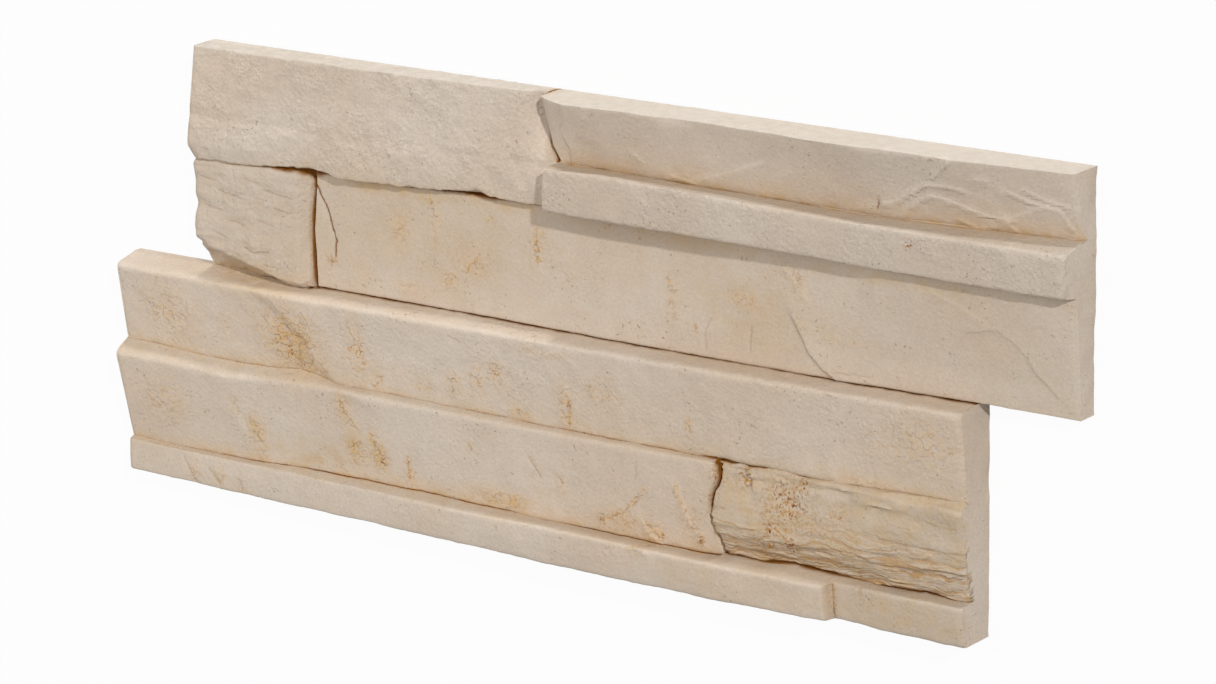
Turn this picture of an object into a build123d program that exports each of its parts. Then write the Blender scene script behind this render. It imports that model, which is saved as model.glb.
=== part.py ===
"""Cast stone cladding panel: two staggered courses of split-stone relief on one flat-backed slab.

The panel lies on its back. X runs along the courses, Y up the wall, Z out of the wall.
The origin is under the middle of the panel, on its back face. All sizes are millimetres.
"""
import os

from build123d import *

# Overall slab
course_length = 440.0
course_height = 100.0
course_offset = 47.0
slab_thickness = 5.0
edge_radius = 1.2
joint_width = 1.4
bed_overlap = 3.0

# Upper course: heights of its rows and lengths of its stones
field_height = 50.0
ledge_height = 17.8
ledge_rise_left = 3.9
ledge_rise_right = 1.9
rough_length = 190.0
corner_length = 62.0
slope_bevel = 12.0

# Upper course: thickness of each stone at even steps along it
rough_top = (14.7, 15.6, 14.2, 12.8, 8.5)
rough_belly = (21.8, 18.8, 17.8, 16.6, 15.8)
rough_bottom = (16.5, 17.3, 17.0, 15.3, 14.8)
rough_edge_rise = (0.5, 3.3, 2.3, 5.2, 3.6)
rough_belly_rise = 8.5
slope_top = (23.4, 21.0, 20.7, 23.1, 21.0, 16.8)
slope_bottom = (11.0, 10.1, 9.9, 9.6, 9.0, 8.3)
slope_end = (12.3, 15.0)
ledge_front = (24.0, 24.3, 24.0, 24.1, 24.3, 23.9)
corner_face = (18.0, 16.5, 16.0, 13.5)
corner_heel = (5.5, 7.0, 9.0, 11.0)
corner_heel_rise = (14.0, 9.0, 4.0, 2.0)
corner_shoulder = (16.5, 16.0, 15.0, 12.0)
corner_shoulder_drop = 3.0
field_top = (10.5, 10.2, 9.6, 9.6, 13.6, 17.6, 15.5)
field_bottom = (9.7, 9.7, 9.7, 9.8, 9.9, 10.1, 10.2)

# Lower course: heights of its rows and lengths of its stones
foot_height = 15.5
middle_height = 42.5
middle_length = 320.0
foot_length = 375.0
foot_fall = 5.0
middle_fall = 11.0

# Lower course: thickness of each stone at even steps along it
crown_drop = 3.0
crown_top = (17.5, 20.0, 21.9, 22.1, 22.5, 22.8, 23.1)
crown_bottom = (12.2, 13.7, 14.9, 15.2, 15.8, 16.4, 17.3)
middle_top = (20.9, 20.0, 19.5, 19.3, 19.0, 18.5)
middle_bottom = (11.1, 11.4, 11.8, 12.2, 12.4, 12.6)
foot_front = (13.9, 16.1, 19.4, 22.8, 24.9, 22.5)
layered_top = (14.2, 16.5, 19.5, 21.2)
layered_belly = (16.5, 19.6, 18.0, 16.5)
layered_bottom = (13.0, 14.0, 13.2, 13.7)
layered_belly_rise = 14.0
end_foot_top = (17.0, 20.0, 21.5)
end_foot_bottom = (16.5, 18.5, 19.4)

# Thickness at the bottom of the deep joints
corner_joint = 8.0
corner_bed_joint = 12.0
rough_joint = 7.0
middle_joint = 9.0
layered_bed_joint = 10.5
foot_joint = 15.0

# Lines that the courses and rows meet on
panel_length = course_length + course_offset
panel_height = 2 * course_height
lower_start = -panel_length / 2
lower_end = lower_start + course_length
upper_start = lower_start + course_offset
upper_end = upper_start + course_length
rough_end = upper_start + rough_length
ledge_start = rough_end + joint_width
corner_end = upper_start + corner_length
middle_end = lower_start + middle_length
foot_end = lower_start + foot_length
foot_line = -panel_height / 2
middle_line = foot_line + foot_height
crown_line = middle_line + middle_height
course_line = foot_line + course_height
ledge_line = course_line + field_height
top_line = course_line + course_height


def even(start, end, count):
    """Evenly spaced places from start to end."""
    return [start + i * (end - start) / (count - 1) for i in range(count)]


def section(x, face, back_bottom, back_top):
    """Cross-section of a stone at x: its back, closed by the outline of its front."""
    outline = [(x, back_bottom, 0), *((x, y, z) for y, z in face), (x, back_top, 0)]
    front = FilletPolyline(*outline, radius=edge_radius)
    back = Line(outline[-1], outline[0])
    return make_face([front, back])


def stone(places, faces, back_bottom=None, back_top=None):
    """A stone whose front passes through a cross-section at each place."""
    sections = []
    for x, face in zip(places, faces):
        bottom = face[0][0] if back_bottom is None else back_bottom
        top = face[-1][0] if back_top is None else back_top
        sections.append(section(x, face, bottom, top))
    return loft(sections, ruled=True)


def upright_joint(x, low, high, thickness):
    """Bottom of the upright joint that starts at x, which reaches into the stones beside it."""
    return Pos(x - joint_width, low) * Box(3 * joint_width, high - low, thickness, align=(Align.MIN,) * 3)


def bed_joint(y, start, end, thickness):
    """Bottom of the long joint that starts at y, which reaches into the stones above and below it."""
    return Pos(start, y - joint_width) * Box(end - start, 3 * joint_width, thickness, align=(Align.MIN,) * 3)


def slab():
    """The two staggered courses of plain backing, bonded over the length that they share."""
    lower = Pos(lower_start, foot_line) * Box(
        course_length, course_height - crown_drop, slab_thickness, align=(Align.MIN,) * 3
    )
    upper = Pos(upper_start, course_line) * Box(
        course_length, course_height, slab_thickness, align=(Align.MIN,) * 3
    )
    bond = Pos(upper_start, course_line - crown_drop - bed_overlap) * Box(
        lower_end - upper_start, crown_drop + 2 * bed_overlap, slab_thickness, align=(Align.MIN,) * 3
    )
    return lower + upper + bond


def rough_stone():
    """Upper left: a rough face that swells above its ragged lower edge."""
    faces = [
        [(ledge_line + rise, bottom), (ledge_line + rough_belly_rise, belly), (top_line, top)]
        for rise, bottom, belly, top in zip(rough_edge_rise, rough_bottom, rough_belly, rough_top)
    ]
    places = even(upper_start, rough_end, len(faces))
    return stone(places, faces, back_bottom=ledge_line - joint_width)


def ledge_bottom(x):
    """Lower edge of the ledge at x, which climbs to the left."""
    share = (x - ledge_start) / (upper_end - ledge_start)
    return ledge_line + ledge_rise_left + share * (ledge_rise_right - ledge_rise_left)


def slope_stone():
    """Upper right: a face that leans back from the top edge down to the ledge, with its left end worn away."""
    places = [ledge_start, *even(ledge_start + slope_bevel, upper_end, len(slope_top))]
    fronts = [slope_end, *zip(slope_bottom, slope_top)]
    faces = []
    for x, (bottom, top) in zip(places, fronts):
        foot = ledge_bottom(x) + ledge_height
        faces.append([(foot - bed_overlap, bottom), (foot, bottom), (top_line, top)])
    return stone(places, faces)


def ledge_stone():
    """The narrow strip that stands out furthest, under the sloping stone."""
    places = even(ledge_start, upper_end, len(ledge_front))
    faces = [
        [(ledge_bottom(x), front), (ledge_bottom(x) + ledge_height, front)]
        for x, front in zip(places, ledge_front)
    ]
    return stone(places, faces)


def corner_stone():
    """Lower left of the upper course: a small block with its lower corner broken away."""
    faces = [
        [
            (course_line, heel),
            (course_line + rise, face),
            (ledge_line - joint_width - corner_shoulder_drop, face),
            (ledge_line - joint_width, shoulder),
        ]
        for heel, rise, face, shoulder in zip(corner_heel, corner_heel_rise, corner_face, corner_shoulder)
    ]
    return stone(even(upper_start, corner_end, len(faces)), faces)


def field_stone():
    """The long smooth stone set back between its neighbours, which swells under the ledge at the right."""
    faces = [
        [(course_line, bottom), (ledge_line + ledge_rise_left + bed_overlap, top)]
        for bottom, top in zip(field_bottom, field_top)
    ]
    return stone(even(corner_end + joint_width, upper_end, len(faces)), faces)


def crown_stone():
    """Top row of the lower course: its upper face falls to the front, its front leans back."""
    faces = [
        [(crown_line - bed_overlap, bottom), (course_line - crown_drop, top)]
        for bottom, top in zip(crown_bottom, crown_top)
    ]
    return stone(even(lower_start, lower_end, len(faces)), faces, back_top=course_line)


def middle_stone():
    """Middle row, left: stands out at its upper edge and leans back to its foot."""
    faces = [
        [(middle_line - bed_overlap, bottom), (middle_line, bottom), (crown_line, top)]
        for bottom, top in zip(middle_bottom, middle_top)
    ]
    return stone(even(lower_start, middle_end, len(faces)), faces, back_top=crown_line + middle_fall)


def foot_stone():
    """Bottom row, left: a narrow strip."""
    faces = [[(foot_line, front), (middle_line, front)] for front in foot_front]
    return stone(even(lower_start, foot_end, len(faces)), faces, back_top=middle_line + foot_fall)


def layered_stone():
    """Middle row, right: a rough layered block that swells between its edges."""
    faces = [
        [
            (middle_line + joint_width, bottom),
            (middle_line + layered_belly_rise, belly),
            (crown_line, top),
        ]
        for bottom, belly, top in zip(layered_bottom, layered_belly, layered_top)
    ]
    return stone(even(middle_end + joint_width, lower_end, len(faces)), faces)


def end_foot_stone():
    """Bottom row, right: the short strip that ends the course."""
    faces = [
        [(foot_line, bottom), (middle_line, top)]
        for bottom, top in zip(end_foot_bottom, end_foot_top)
    ]
    return stone(even(foot_end + joint_width, lower_end, len(faces)), faces)


def panel():
    """The whole cast panel as one solid."""
    stones = [
        rough_stone(),
        slope_stone(),
        ledge_stone(),
        corner_stone(),
        field_stone(),
        crown_stone(),
        middle_stone(),
        foot_stone(),
        layered_stone(),
        end_foot_stone(),
    ]
    joints = [
        upright_joint(corner_end, course_line, ledge_line - joint_width, corner_joint),
        upright_joint(rough_end, ledge_line, top_line, rough_joint),
        upright_joint(middle_end, middle_line, crown_line, middle_joint),
        upright_joint(foot_end, foot_line, middle_line, foot_joint),
        bed_joint(ledge_line - joint_width, upper_start, corner_end, corner_bed_joint),
        bed_joint(middle_line, middle_end, lower_end, layered_bed_joint),
    ]
    return (slab() + stones + joints).clean()


os.makedirs("parts", exist_ok=True)
stone_panel = panel()
stone_panel.label = "stone_panel"
export_step(stone_panel, "parts/stone_panel.step")
print("volume cm3", round(stone_panel.volume / 1000, 1), "size", stone_panel.bounding_box().size)
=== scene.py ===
"""Cast stone cladding panel: its relief, finish, floor, light and camera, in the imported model's frame.

The face is skinned over rails, lines that run along the panel on the edges and bellies of its stones.
Places are millimetres from the lower left corner of the back: x along the wall, y up it, z out of it.
"""
import itertools
import math

import bmesh
import bpy
import numpy as np
from mathutils import Matrix, Vector


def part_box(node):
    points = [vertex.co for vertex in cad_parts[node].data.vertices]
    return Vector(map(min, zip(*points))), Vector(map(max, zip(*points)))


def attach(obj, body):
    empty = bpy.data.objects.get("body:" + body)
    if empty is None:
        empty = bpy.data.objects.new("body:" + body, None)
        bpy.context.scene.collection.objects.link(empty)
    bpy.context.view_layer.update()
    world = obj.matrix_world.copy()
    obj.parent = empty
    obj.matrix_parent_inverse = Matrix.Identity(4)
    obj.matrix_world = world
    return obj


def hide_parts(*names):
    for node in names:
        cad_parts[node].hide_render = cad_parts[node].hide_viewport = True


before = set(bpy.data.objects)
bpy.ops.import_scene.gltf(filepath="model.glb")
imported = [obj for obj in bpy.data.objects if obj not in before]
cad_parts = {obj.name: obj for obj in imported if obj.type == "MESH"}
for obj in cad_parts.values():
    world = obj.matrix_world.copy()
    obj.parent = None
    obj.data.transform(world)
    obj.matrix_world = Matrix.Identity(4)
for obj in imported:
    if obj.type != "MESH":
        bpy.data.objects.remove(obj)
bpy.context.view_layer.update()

MM = 0.001
NODE = "stone_panel"
CORNER = Vector(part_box(NODE)[0])

# Lines of the panel
LOWER_START, LOWER_END = 0.0, 440.0
UPPER_START, UPPER_END = 47.0, 487.0
BOTTOM_LINE, COURSE_LINE, TOP_LINE = 0.0, 100.0, 200.0
FREE_SEAM_Y, FREE_SEAM_Z = 99.6, 4.5

# Density of the mesh
COLUMN_STEP = 1.2
COLUMN_SAMPLES = 4000
JOINT_CROWDING = 2.2
JOINT_REACH = 2.6
END_CROWDING = 1.6
END_REACH = 1.6
ROW_CROWDING = 0.07

# Rows of the mesh in each part of a band, from the bottom up: to its lower edge, its face in two, its ledge
BAND_PARTS = 4
LOWER_ROWS = (10, 5, 7, 8, 2, 14, 16, 6, 2, 14, 14, 10)
UPPER_ROWS = (3, 9, 28, 3, 9, 6, 6, 10, 2, 10, 11, 13)
SKIRT_ROWS = 6

# Rails of each stone's face, from its lower edge to its upper edge: (x, y, z) along each
RAILS = {
    "foot": [
        [(0, 0.3, 13.9), (60, 0.2, 15.5), (120, 0.2, 18), (190, 0.2, 20.6), (250, 0.2, 23.2),
         (320, 0.2, 24), (360, 0.3, 23), (376, 0.5, 21.8)],
        [(0, 7.5, 14), (120, 7.8, 18.2), (250, 8.5, 24.2), (320, 8.4, 25), (376, 8, 22.5)],
        [(0, 14.4, 13.6), (60, 14.8, 15.5), (120, 15.3, 18), (190, 15.2, 21.2), (250, 16.8, 24.3),
         (320, 16.5, 25.1), (360, 15.8, 24.2), (376, 15.5, 22.6)],
    ],
    "end_foot": [
        [(376, 0.3, 16.5), (400, 0.2, 18), (440, 0, 19.4)],
        [(376, 8, 17), (400, 8.4, 19), (440, 8.6, 20.6)],
        [(376, 16, 17), (390, 16.2, 18.5), (410, 16.8, 20), (440, 17.2, 21.5)],
    ],
    "middle": [
        [(0, 15.7, 11.1), (30, 15.4, 11.2), (68, 15.3, 11.4), (100, 16.9, 11.6), (158, 17.4, 12),
         (199, 16.8, 12.2), (236, 15.7, 12.4), (320, 15.7, 12.6)],
        [(0, 36, 16), (100, 36.5, 15.8), (200, 37, 16), (320, 37, 16.2)],
        [(0, 57, 20.9), (20, 56.8, 20.5), (45, 56.1, 20), (64, 55.4, 20), (86, 57.2, 19.8),
         (114, 58.7, 19.5), (152, 57.9, 19.4), (211, 57.4, 19.2), (250, 57.1, 19), (314, 58, 19),
         (320, 57.6, 18)],
    ],
    "layered": [
        [(320, 17.2, 13), (331, 18.4, 13.5), (343, 18.4, 14), (357, 20.3, 14), (364, 19.6, 13.8),
         (374, 19.2, 13.5), (395, 18.2, 13.2), (410, 17.6, 13.2), (440, 18.2, 13.7)],
        [(320, 31, 16), (326, 31, 18), (345, 31, 19.5), (370, 31, 19.5), (400, 31, 18), (440, 31, 16.5)],
        [(320, 57.5, 14), (328, 57.5, 15), (344, 58.3, 15.5), (360, 58, 16.5), (374, 57.8, 17.5),
         (400, 58.6, 19.5), (440, 58.7, 21.2)],
    ],
    "crown": [
        [(0, 62, 12.2), (21, 61.9, 12.8), (40, 61, 13.2), (67, 60.6, 13.6), (88, 61.5, 13.8),
         (101, 63.2, 14), (110, 62, 14.5), (121, 59.9, 15), (161, 59.4, 15), (220, 58.8, 15.3),
         (320, 58.6, 16), (344, 59.2, 16.2), (374, 58.4, 16.4), (400, 59.6, 16.8), (440, 60, 17.3)],
        [(0, 79, 15), (100, 79, 17.5), (200, 79, 18.3), (320, 79, 19), (440, 80, 20.2)],
        [(0, 96.6, 17.5), (18, 96.8, 19), (41, 96.5, 18.5), (65, 96.7, 19.6), (84, 96.8, 20),
         (104, 97, 21.3), (141, 97.2, 21.8), (250, 97.5, 22.3), (350, 98, 22.8), (440, 98.6, 23.2)],
    ],
    "corner": [
        [(47, 100.2, 5.5), (67, 100.2, 6), (85, 99.6, 8), (97, 98.8, 11), (104, 98.8, 12),
         (110, 99.8, 10.5)],
        [(47, 115, 18), (56, 111.5, 17.5), (67, 108.5, 16.5), (78, 105.5, 16), (90, 102.5, 15.5),
         (98, 101, 15), (104, 101, 14.5), (110, 103, 11.5)],
        [(47, 148.6, 18.2), (60, 149, 18.2), (76, 149.3, 17.8), (97, 150.6, 17.2), (104, 150.2, 16),
         (110, 148.5, 12.5)],
    ],
    "field": [
        [(110, 99.8, 9.7), (150, 99.6, 9.7), (200, 99.5, 9.7), (260, 98.8, 9.8), (320, 98.8, 9.9),
         (380, 98.8, 10), (440, 99.6, 10.1), (487, 100.2, 10.2)],
        [(110, 112, 10), (200, 112, 10), (300, 112, 10.3), (487, 112, 11.2)],
        [(110, 150.8, 11.5), (125, 150.8, 12), (160, 151, 12), (189, 152.6, 11.6), (207, 152, 11.2),
         (236, 152.2, 10.6), (246, 151.6, 9.7), (310, 151.2, 10.1), (339, 150.9, 12.4),
         (354, 150.8, 13.5), (386, 150.4, 14.4), (396, 150.3, 17.2), (414, 150, 18), (440, 149.9, 17.4),
         (475, 149.7, 16.6), (487, 149.6, 15)],
    ],
    "rough_foot": [
        [(47, 150.8, 17), (52, 151.6, 19.3), (64, 151.7, 19), (78, 152, 18.5), (92, 152.8, 18.1),
         (98, 153.4, 18), (102, 154.4, 18), (111, 154.5, 17.8), (118, 153.6, 17.7), (125, 152, 17.6),
         (160, 152.2, 17.2), (180, 153.1, 16.5), (190, 154.5, 16.1), (201, 155.4, 16),
         (207, 153.1, 15.9), (238, 153.6, 15.5)],
        [(47, 157, 21.8), (52, 157, 20.8), (80, 157.5, 19.4), (110, 158.5, 18.2), (150, 158, 17.5),
         (190, 159, 16.5), (238, 159, 15.8)],
        [(47, 166, 20.3), (100, 166, 18), (150, 166, 17), (190, 166, 16), (238, 166, 15.2)],
    ],
    "rough_head": [
        [(47, 173, 19.1), (100, 173, 17.5), (150, 173, 16.3), (190, 173, 15.5), (228, 173, 14.6),
         (233, 173, 13.6), (238, 173, 12.5)],
        [(47, 186, 17), (100, 186, 16.6), (150, 186, 15), (190, 186, 14), (222, 186, 13.2),
         (229, 186, 10.5), (238, 186, 8)],
        [(47, 200, 14.7), (103, 200, 15.8), (156, 200, 13.8), (216, 200, 11.9), (225, 200, 10.5),
         (231, 200, 8), (238, 200, 7)],
    ],
    "ledge": [
        [(238, 153.6, 24), (300, 153.1, 24.2), (360, 152.7, 24), (420, 152, 24.2), (487, 151.7, 23.8)],
        [(238, 164.5, 24.3), (360, 162, 24.4), (487, 161, 24.2)],
        [(238, 172, 24), (270, 172.6, 24.2), (330, 171.2, 24.3), (395, 169.7, 24.2), (487, 169.1, 24.1)],
    ],
    "slope": [
        [(238, 172.4, 12.3), (246, 171.8, 11.6), (259, 171.3, 10.3), (320, 170.3, 10),
         (386, 169.4, 9.6), (440, 170.8, 9), (487, 172.3, 8.3)],
        [(238, 186, 13), (243, 186, 15.4), (250, 186, 17.4), (272, 186, 16.5), (320, 186, 15),
         (394, 186, 16.5), (440, 186, 14.5), (487, 186, 12.6)],
        [(238, 200, 14.5), (242, 200, 18.5), (250, 200, 23.4), (272, 200, 22.5), (321, 200, 19.8),
         (394, 200, 23.2), (440, 200, 21), (473, 200, 18.5), (487, 200, 16.8)],
    ],
}

# Each course: its bands from the bottom up, each with its stones from left to right
LOWER_BANDS = (("foot", "end_foot"), ("middle", "layered"), ("crown",))
UPPER_BANDS = (("corner", "field"), ("rough_foot", "ledge"), ("rough_head", "slope"))

# Upright joints: where each stands, how it wanders as (y, x), its half width and its depth
UPRIGHTS = {
    ("foot", "end_foot"): (376, [(0, 376.5), (4, 376), (16, 375.5)], 0.8, 1.1),
    ("middle", "layered"): (
        320,
        [(18, 322), (24, 320.4), (29, 317.6), (36, 316), (43, 317.2), (47, 319.6), (51, 320.8), (58, 320)],
        0.9, 3.2),
    ("corner", "field"): (110, [(100, 107.8), (125, 107.2), (147, 110)], 0.6, 2.4),
    ("rough_foot", "ledge"): (238, [(153, 238.5), (171, 239.5)], 0.7, 0.6),
    ("rough_head", "slope"): (238, [(172, 239.8), (179, 236), (190, 234), (200, 233)], 0.9, 3.0),
}

# Long joints between bands: (x, depth, darkness, ochre wash above) along each
LONG_JOINTS = {
    "foot": [
        (0, 0.4, 0.25, 0.7), (60, 0.5, 0.45, 0.8), (100, 0.6, 0.7, 0.9), (250, 0.6, 0.7, 0.9),
        (310, 0.7, 0.85, 0.9), (320, 2.6, 1, 1), (360, 2.3, 1, 1), (440, 1.6, 0.9, 0.8),
    ],
    "middle": [
        (0, 0.5, 0.4, 0.5), (100, 0.6, 0.4, 0.8), (140, 0.5, 0.35, 0.6), (310, 0.7, 0.5, 0.6),
        (322, 2, 1, 0.8), (345, 1.2, 0.7, 0.5), (390, 0.6, 0.3, 0.7), (440, 0.6, 0.3, 0.8),
    ],
    "crown": [
        (47, 0.6, 0.2, 0), (95, 0.6, 0.5, 0.6), (106, 2.4, 1, 0.6), (440, 3, 1, 0.6), (452, 0.2, 0, 0),
    ],
    "corner": [
        (47, 0.8, 0.3, 0.2), (84, 0.9, 0.45, 0.3), (92, 2, 1, 0.5), (113, 3.5, 1, 0.6),
        (122, 1.2, 0.4, 0.2), (160, 1.2, 0.5, 0.3), (182, 2.5, 1, 0.5), (206, 2.8, 1, 0.6),
        (214, 1.4, 0.8, 0.3), (236, 1, 0.8, 0.3), (242, 0.5, 0.2, 0), (487, 0.5, 0.3, 0),
    ],
    "rough_foot": [
        (237, 0, 0, 0), (243, 0.5, 0.5, 1), (330, 0.5, 0.45, 1), (487, 0.5, 0.4, 0.9),
    ],
}

# How near the bottom of a joint lies to the stone under it, from 0 to 1, where that is seen: (x, share)
LEANS = {"corner": [(47, 0.35), (108, 0.3), (118, 0.8), (240, 0.92)]}

# Surface of each stone: broad swell, lumps, grain, bedding and flakes in mm, and how far its edges wander
FINISH = {
    "foot": (0.4, 0.12, 0.04, 0, 0, 0.3),
    "end_foot": (0.4, 0.1, 0.04, 0, 0, 0.35),
    "middle": (0.45, 0.13, 0.04, 0, 0, 0.3),
    "layered": (0.5, 0.25, 0.08, 0.8, 0, 0.55),
    "crown": (0.5, 0.25, 0.06, 0, 0, 0.3),
    "corner": (0.4, 0.32, 0.1, 0.3, 0.2, 0.5),
    "field": (0.25, 0.08, 0.03, 0, 0, 0.22),
    "rough_foot": (0.3, 0.12, 0.14, 0, 0.22, 0.8),
    "rough_head": (0.3, 0.12, 0.14, 0, 0.22, 0.3),
    "ledge": (0.2, 0.1, 0.1, 0, 0, 0.3),
    "slope": (0.5, 0.06, 0.02, 0, 0.06, 0.25),
}

# Tint of each stone: how much darker it is than others, how far ochre covers it, and how much painted shade
# darkens its upward ledge faces
TINTS = {
    "foot": (0.03, 0.08, 0.02),
    "end_foot": (0.08, 0.2, 0.04),
    "middle": (-0.02, 0.05, 0.1),
    "layered": (0.07, 0.55, 0.04),
    "crown": (-0.03, 0, 0),
    "corner": (0.06, 0.2, 0.04),
    "field": (0.02, 0.15, 0.04),
    "rough_foot": (0.05, 0, 0.04),
    "rough_head": (0.05, 0, 0.04),
    "ledge": (0.07, 0, 0.07),
    "slope": (0, 0, 0.04),
}

# Sizes and strengths of the relief, and the heights between which some of it fades
SWELL_SIZE, LUMP_SIZE, GRAIN_SIZE, FLAKE_SIZE = 45.0, 9.0, 3.2, 11.0
BEDDING_SIZE = np.array((55.0, 3.4, 12.0))
BEDDING_BEND, BEND_SIZE, BEDDING_SHARPNESS = 1.5, 30.0, 2.2
EDGE_SIZES, EDGE_FALL, LIFT_SHARE = (17.0, 6.0, 2.6), 0.6, 0.6
EDGE_SOFTENING = 2
STONE_BLEND, LEAN_REACH = 2.0, 9.0
GROOVE_SPAN, GROOVE_LEANS = 6.0, (0.08, 0.92)
SCORE_WIDTH, STEP_WIDTH = 0.8, 0.7
END_WANDER, END_SIZE, END_ROUND, END_WIDTH = 0.55, 12.0, 0.9, 1.1
END_HEIGHTS, BACK_HEIGHTS = (2, 8), (12, 3)
FLAKE_LEVELS = ((-0.05, 0.05), (0.3, 0.38))
SOFT_RAILS, SOFT_TIMES, SOFT_REACH = (7, 11), 6, 2.5
CRISP_SHARE, CRISP_ROWS = 0.6, 2
SHARP_ANGLE = 50.0
WELD_DISTANCE = 1e-7

# Reach and strength of the looks that the mesh carries to the material
LINE_FADE, LINE_REACH = 1.2, 2.4
LINE_WIDTH, LINE_GROWTH = 0.4, 0.3
WASH_REACH = 4.0
RIM_REACH, RIM_GROWTH, RIM_WASH, RIM_RUST = 0.3, 1.2, 0.8, 0.7
GAP_SHARE, GAP_DEPTHS = 0.6, (0.5, 2.5)
HALO_SHARE, HALO_DEPTHS = 2, (1.2, 3)
LEDGE_WASH, LEDGE_REACH = 0.6, 7.0
NEAR_BLUR, FAR_BLUR = 4, 40
# The second of these sets the painted highlight on the upward faces along the panel's top
WORN_HEIGHT, PAINTED_TOP_HIGHLIGHT, HOLLOW_DEPTH = 1.2, 1.5, 14.0
ROUGH_GRAIN, FULL_BEDDING, BEDDING_HEIGHTS = 0.12, 0.8, (50, 22)
LEDGE_SLOPES, TOP_BAND = (0.4, 0.9), (TOP_LINE - 2, TOP_LINE - 0.5)
LOOKS = (
    "gap", "score", "score_side", "step", "step_side", "streak", "streak_side", "spot", "flake", "ochre_and_shade",
    "worn", "rough", "beds", "shade")

# Hollows and bosses: (x, y, half length, half height, height)
DENTS = [
    (47, 140, 7, 6, -1.4), (47, 130, 7, 3.5, -2.4), (47, 121, 5, 2, 0.5), (47, 112.6, 6, 1.5, -2),
    (52, 107, 5, 2.5, -3), (302, 200, 7, 2, -1.2), (97, 159, 2, 1.2, -0.8), (431, 163.3, 1.2, 1, -0.5),
    (477, 155, 1.5, 1, -0.5), (216, 85, 1.2, 1, -0.5), (23, 34, 1.2, 1, -0.5),
    (111, 12.5, 1.2, 1, -0.5), (128, 11, 1.2, 1, -0.5),
]

# Broken layers: height of the side on the right of the line, how far it reaches, and the line as (x, y)
STEPS = [
    (0.8, 14, [(397, 176), (404, 178), (410, 182), (420, 188), (424, 192), (432, 199)]),
    (0.5, 6, [(420, 188), (431, 188), (437, 187)]),
    (0.8, 9, [(410, 176), (415, 180), (421, 183), (428, 182), (438, 179), (446, 177), (454, 177)]),
    (0.4, 7, [(454, 177), (456, 174), (459, 171)]),
    (0.4, 7, [(454, 177), (461, 180), (471, 185)]),
    (0.6, 9, [(457, 189), (466, 186), (479, 184), (483, 176)]),
    (0.4, 7, [(464, 191), (475, 187), (483, 186)]),
    (0.4, 3, [(443, 193), (448, 193)]),
    (0.4, 3, [(432, 174), (440, 171), (447, 173)]),
    (0.35, 6, [(310, 174), (327, 180), (342, 186)]),
    (0.45, 4, [(296, 174), (307, 172)]),
    (0.4, 3, [(280, 181), (283, 178)]),
    (0.4, 4, [(253, 186), (258, 195)]),
    (-0.5, 5, [(245, 184), (247, 179), (246, 172)]),
    (0.35, 5, [(351, 145), (357, 138), (362, 132)]),
    (-0.9, 8, [(354, 123), (359, 114), (361, 109), (367, 103), (372, 100)]),
    (0.25, 5, [(424, 144), (434, 141), (444, 136)]),
    (-0.35, 7, [(437, 129), (451, 132), (457, 129), (463, 124), (467, 117), (477, 108)]),
    (0.3, 4, [(228, 90), (244, 94), (252, 90)]),
    (0.5, 4, [(281, 26), (284, 20), (291, 15)]),
    (0.5, 5, [(300, 45), (302, 37), (305, 30), (310, 24)]),
    (-0.6, 5, [(335, 57), (338, 49)]),
]

# Soft folds: height of the side on the right of the line, how far it reaches, its half width and the line
FOLDS = [
    (-1.3, 22, 3.0, [(87, 92), (93, 89), (101, 82), (107, 76), (107, 69), (115, 63), (122, 60)]),
    (-0.8, 7, 1.5, [(363, 58), (377, 59), (383, 56), (395, 52), (408, 52)]),
    (0.5, 5, 2.0, [(61, 43), (66, 36), (69, 31)]),
]

# Scores and cracks: depth, darkness and the line
SCORES = [
    (0.5, 0.6, [(396, 177), (395, 173)]), (0.5, 0.8, [(111, 145), (116, 135), (120, 122), (119, 115)]),
    (0.2, 0.2, [(334, 115), (333, 105)]), (0.2, 0.15, [(314, 116), (311, 110), (311, 102)]),
    (0.15, 0.15, [(373, 102), (391, 103)]), (0.3, 0.2, [(187, 92), (193, 90)]),
    (0.3, 0.25, [(225, 44), (230, 36)]), (0.2, 0.15, [(281, 50), (280, 44)]),
    (0.4, 0.2, [(33, 12), (35, 8), (39, 2)]), (0.4, 0.2, [(48, 9), (55, 3)]),
    (0.3, 0.15, [(65, 7), (67, 3)]), (0.4, 0.2, [(53, 130), (62, 129)]),
    (0.4, 0.2, [(86, 141), (100, 139)]), (0.4, 0.2, [(92, 133), (99, 132)]),
    (0.6, 0.3, [(74, 114), (79, 112), (87, 113)]), (0.35, 0.2, [(51, 143), (59, 142)]),
    (0.35, 0.2, [(61, 138), (73, 136)]), (0.3, 0.15, [(76, 145), (84, 143)]),
    (0.35, 0.2, [(66, 125), (74, 124)]), (0.3, 0.15, [(82, 127), (90, 125)]),
    (0.35, 0.2, [(57, 119), (64, 117)]), (0.3, 0.15, [(84, 107), (92, 107)]),
    (0.42, 0.25, [(393, 41), (401, 39), (424, 38), (440, 39)]), (0.3, 0.15, [(417, 50), (435, 49)]),
    (0.48, 0.25, [(364, 29), (387, 31), (397, 28), (411, 27), (426, 28), (440, 27)]),
    (0.42, 0.2, [(322, 27), (342, 26), (362, 27)]), (0.36, 0.25, [(325, 21), (347, 21), (362, 22)]),
]

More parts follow.
